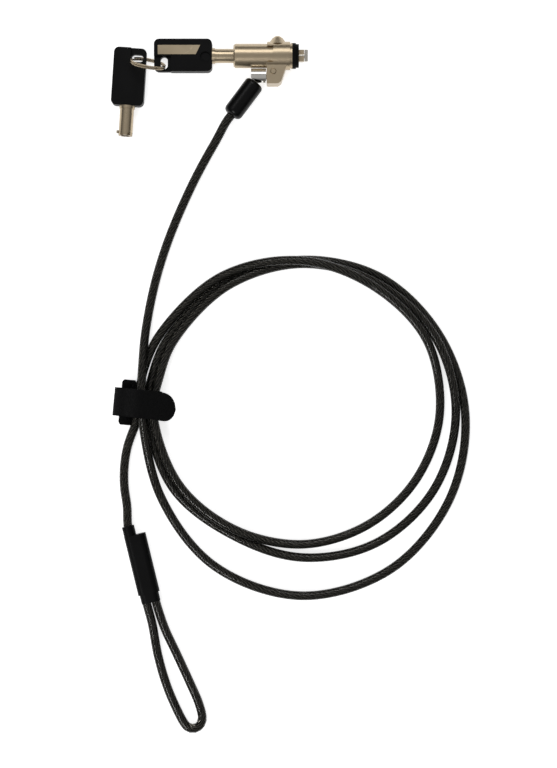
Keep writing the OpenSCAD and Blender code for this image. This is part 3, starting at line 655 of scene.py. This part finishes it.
class CABLELOCK_OT_strap(bpy.types.Operator):
    """Wraps the hook and loop strap round the coil's bundle"""

    bl_idname = "cable_lock.strap"
    bl_label = "Strap"

    def execute(self, context):
        sizes = context.scene.cable_lock_sizes
        colours = context.scene.cable_lock_colours
        line, _ = smooth_line([(x, 0.0, z) for x, z in STRAP_LINE], 12)
        line, run = even_steps(line, STRAP_STEP)
        half = sizes.strap_width / MM / 2
        head = sizes.strap_head_width / MM / 2
        skewed = math.tan(STRAP_TURN)
        total = run[-1]
        across = STRAP_COLUMNS
        vertices, faces, uvs = [], [], []
        for (x, _, z), s in zip(line, run):
            width = half
            if s < HEAD_LEN:
                width = half + (head - half) * min(1.0, (HEAD_LEN - s) / HEAD_SHOULDER)
                width -= max(0.0, HEAD_ROUNDING - s) ** 2
            left = total - s
            if left < half:
                width = half * max(0.0, 1 - (1 - left / half) ** TAB_CURVE) ** 0.5
            slant = (x - STRAP_X) * skewed - TAB_DRIFT * max(0.0, 1 - left / TAB_LEN) ** 2
            for k in range(across + 1):
                share = 2 * k / across - 1
                aside = share * width
                drop = UPPER_CROWN * share ** 2 if left < UPPER_LEN else 0.0
                vertices.append((x - aside * skewed, STRAP_Y + aside + slant, z - drop))
        for i in range(len(line) - 1):
            in_slot = SLOT_FROM < run[i] < SLOT_TO
            for k in range(across):
                share = (2 * k + 1) / across - 1
                if in_slot and abs(share) * head < half - SLOT_MARGIN:
                    continue
                a = i * (across + 1) + k
                quad = (a, a + 1, a + across + 2, a + across + 1)
                faces.append(quad)
                for v in quad:
                    row, col = divmod(v, across + 1)
                    uvs.append((run[row] * MM, col / across * sizes.strap_width))
        strap = new_object("strap", np.array(vertices) * MM, faces, uvs)
        only(strap)
        bpy.ops.object.mode_set(mode="EDIT")
        bpy.ops.mesh.select_all(action="SELECT")
        bpy.ops.mesh.delete_loose()
        bpy.ops.object.mode_set(mode="OBJECT")
        thick = strap.modifiers.new("thickness", "SOLIDIFY")
        thick.thickness = sizes.strap_thickness
        thick.offset = 0.0
        edge = strap.modifiers.new("edge", "BEVEL")
        edge.width = EDGE_BEVEL * MM
        edge.segments = 2
        edge.limit_method = "ANGLE"
        edge.angle_limit = math.radians(60)
        fuzz = bpy.data.textures.new("strap fuzz", "CLOUDS")
        fuzz.noise_scale = PILE_GRAIN * MM
        fuzz.noise_depth = 2
        pile = strap.modifiers.new("pile", "DISPLACE")
        pile.texture = fuzz
        pile.texture_coords = "LOCAL"
        pile.strength = PILE_HEIGHT * MM
        pile.mid_level = 0.5
        for modifier in [m.name for m in strap.modifiers]:
            bpy.ops.object.modifier_apply(modifier=modifier)

        cloth, shader, vector = start_material("hook and loop", uv=True, Sheen_Weight=0.03,
                                               Sheen_Roughness=0.5, Specular_IOR_Level=0.12)
        tree = cloth.node_tree
        weave = put_group(tree, "Woven pile", vector, Loops=2400.0, Ribs=500.0)
        black = tuple(colours.black)
        two_tones(tree, shader, weave.outputs["Fluff"], tuple(0.3 * c for c in black),
                  tuple(0.9 * c for c in black))
        rough_between(tree, shader, weave.outputs["Height"], 0.95, 0.75)
        bump(tree, shader, weave.outputs["Height"], 2e-4)
        give(["strap"], cloth)

        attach(strap, "cable")
        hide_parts("strap_band", "strap_head")
        return {"FINISHED"}


class CABLELOCK_OT_metals(bpy.types.Operator):
    """Finishes the lock's metal parts"""

    bl_idname = "cable_lock.metals"
    bl_label = "Metal finishes"

    def execute(self, context):
        colours = context.scene.cable_lock_colours
        nickel, bright = tuple(colours.nickel), tuple(colours.bright)
        steel, brass = tuple(colours.steel), tuple(colours.brass)
        satin = metal("satin nickel", nickel, tuple(0.93 * c for c in nickel), 0.3, 0.38,
                      stretch=(0.25, 1.0, 1.0), grain=3200.0)
        give(["lock_barrel", "nose_piece", "collar", "lug_rivet", "key_1_washer", "key_2_washer"],
             satin)
        plated = metal("bright nickel", bright, tuple(0.92 * c for c in bright), 0.26, 0.36)
        give(["key_1_tube", "key_2_tube", "split_ring"], plated)
        give(["t_bar"], metal("machined nickel", *T_BAR_TONES, 0.12, 0.3))
        give(["swivel_link"], metal("polished chrome", *LINK_TONES, 0.04, 0.1, relief=4e-7))
        give(["roll_pin", "collar_pin", "swivel_axle", "link_pin", "cable_terminal", "tumbler_springs"],
             metal("plain steel", steel, tuple(0.8 * c for c in steel), 0.25, 0.45))
        give(["spacer_sleeve", "lock_core", "pin_tumblers"],
             metal("turned brass", brass, tuple(0.85 * c for c in brass), 0.2, 0.35))
        return {"FINISHED"}


class CABLELOCK_OT_plastics(bpy.types.Operator):
    """Finishes the bows, the boot, the sleeve, the washer and the labels"""

    bl_idname = "cable_lock.plastics"
    bl_label = "Plastic and rubber finishes"

    def execute(self, context):
        colours = context.scene.cable_lock_colours
        black = tuple(colours.black)
        half = tuple(0.6 * c for c in black)
        give(["key_1_bow", "key_2_bow"],
             plastic("bow plastic", black, half, 0.34, 0.5, relief=6e-6, shine=0.1))
        give(["cable_boot"], plastic("boot plastic", half, tuple(0.5 * c for c in half), 0.22, 0.3,
                                     relief=5e-7, shine=0.16))
        give(["crimp_sleeve", "sleeve_neck", "sleeve_ring"],
             plastic("sleeve plastic", black, half, 0.38, 0.52, grain=1500.0))
        give(["rubber_washer"], plastic("washer rubber", black, half, 0.55, 0.75, grain=1800.0,
                                        relief=1e-5))
        label = tuple(colours.label)
        give(["key_1_label", "key_2_label"],
             plastic("bare label", label, tuple(0.88 * c for c in label), 0.45, 0.6, relief=5e-6))
        return {"FINISHED"}


class CABLELOCK_OT_stage(bpy.types.Operator):
    """Makes the white floor, the surroundings and the soft lights"""

    bl_idname = "cable_lock.stage"
    bl_label = "Studio"

    def execute(self, context):
        scene = context.scene
        studio = scene.cable_lock_studio
        bpy.ops.object.select_all(action="DESELECT")
        bpy.ops.mesh.primitive_plane_add(size=8.0, location=(*MIDDLE, -0.0001))
        floor = context.active_object
        floor.name = "floor"
        paper = bpy.data.materials.new("white floor")
        paper.use_nodes = True
        tree = paper.node_tree
        shader = tree.nodes["Principled BSDF"]
        shader.inputs["Base Color"].default_value = (0.8, 0.8, 0.8, 1.0)
        shader.inputs["Roughness"].default_value = 0.9
        shader.inputs["Specular IOR Level"].default_value = 0.1
        seen = add(tree, "LightPath")
        direct = combine(tree, "MAXIMUM", seen.outputs["Is Camera Ray"], seen.outputs["Is Glossy Ray"])
        direct = combine(tree, "MAXIMUM", direct, seen.outputs["Is Transmission Ray"])
        shader.inputs["Emission Color"].default_value = (1.0, 1.0, 1.0, 1.0)
        tree.links.new(combine(tree, "MULTIPLY", direct, FLOOR_GLOW), shader.inputs["Emission Strength"])
        floor.data.materials.append(paper)

        world = bpy.data.worlds.new("studio")
        scene.world = world
        world.use_nodes = True
        tree = world.node_tree
        tree.nodes.clear()
        way = add(tree, "SeparateXYZ")
        tree.links.new(add(tree, "TexCoord").outputs["Generated"], way.inputs["Vector"])
        level = add(tree, "MapRange", {"From Min": 0.3, "From Max": 0.85, "To Min": studio.horizon,
                                       "To Max": studio.ceiling}, interpolation_type="SMOOTHSTEP")
        tree.links.new(way.outputs["Z"], level.inputs["Value"])
        back = add(tree, "Background")
        tree.links.new(level.outputs["Result"], back.inputs["Strength"])
        tree.links.new(back.outputs[0], tree.nodes.new("ShaderNodeOutputWorld").inputs[0])

        aim = Vector(LIGHT_AIM)
        for name, place, size, power in (
            ("key light", KEY_PLACE, KEY_SIZE, studio.key_power),
            ("fill light", FILL_PLACE, FILL_SIZE, studio.fill_power),
        ):
            light = bpy.data.lights.new(name, "AREA")
            light.shape = "RECTANGLE"
            light.size, light.size_y = size
            light.energy = power
            lamp = bpy.data.objects.new(name, light)
            lamp.location = place
            lamp.rotation_euler = (aim - Vector(place)).to_track_quat("-Z", "Y").to_euler()
            lamp.visible_camera = False
            scene.collection.objects.link(lamp)
        scene.view_settings.view_transform = "Standard"
        return {"FINISHED"}


class CABLELOCK_PT_panel(bpy.types.Panel):
    """Lists the lock's settings and its steps in the sidebar"""

    bl_idname = "CABLELOCK_PT_panel"
    bl_label = "Cable Lock"
    bl_space_type = "VIEW_3D"
    bl_region_type = "UI"
    bl_category = "Cable Lock"

    def draw(self, context):
        for group in (context.scene.cable_lock_sizes, context.scene.cable_lock_colours,
                      context.scene.cable_lock_studio):
            box = self.layout.box()
            for key in group.__annotations__:
                box.prop(group, key)
        for step in STEPS:
            self.layout.operator(step.bl_idname)


STEPS = (
    CABLELOCK_OT_camera, CABLELOCK_OT_cable, CABLELOCK_OT_strap, CABLELOCK_OT_metals,
    CABLELOCK_OT_plastics, CABLELOCK_OT_stage,
)
CLASSES = (CableLockSizes, CableLockColours, CableLockStudio) + STEPS + (CABLELOCK_PT_panel,)


def register():
    """Adds the classes and their settings."""
    for each in CLASSES:
        bpy.utils.register_class(each)
    bpy.types.Scene.cable_lock_sizes = bpy.props.PointerProperty(type=CableLockSizes)
    bpy.types.Scene.cable_lock_colours = bpy.props.PointerProperty(type=CableLockColours)
    bpy.types.Scene.cable_lock_studio = bpy.props.PointerProperty(type=CableLockStudio)


def unregister():
    """Removes the classes and their settings."""
    for key in ("cable_lock_sizes", "cable_lock_colours", "cable_lock_studio"):
        delattr(bpy.types.Scene, key)
    for each in reversed(CLASSES):
        bpy.utils.unregister_class(each)


def main():
    """Makes the lock step by step."""
    register()
    build_groups()
    bpy.ops.cable_lock.camera()
    bpy.ops.cable_lock.cable()
    bpy.ops.cable_lock.strap()
    bpy.ops.cable_lock.metals()
    bpy.ops.cable_lock.plastics()
    bpy.ops.cable_lock.stage()


if __name__ == "__main__":
    main()
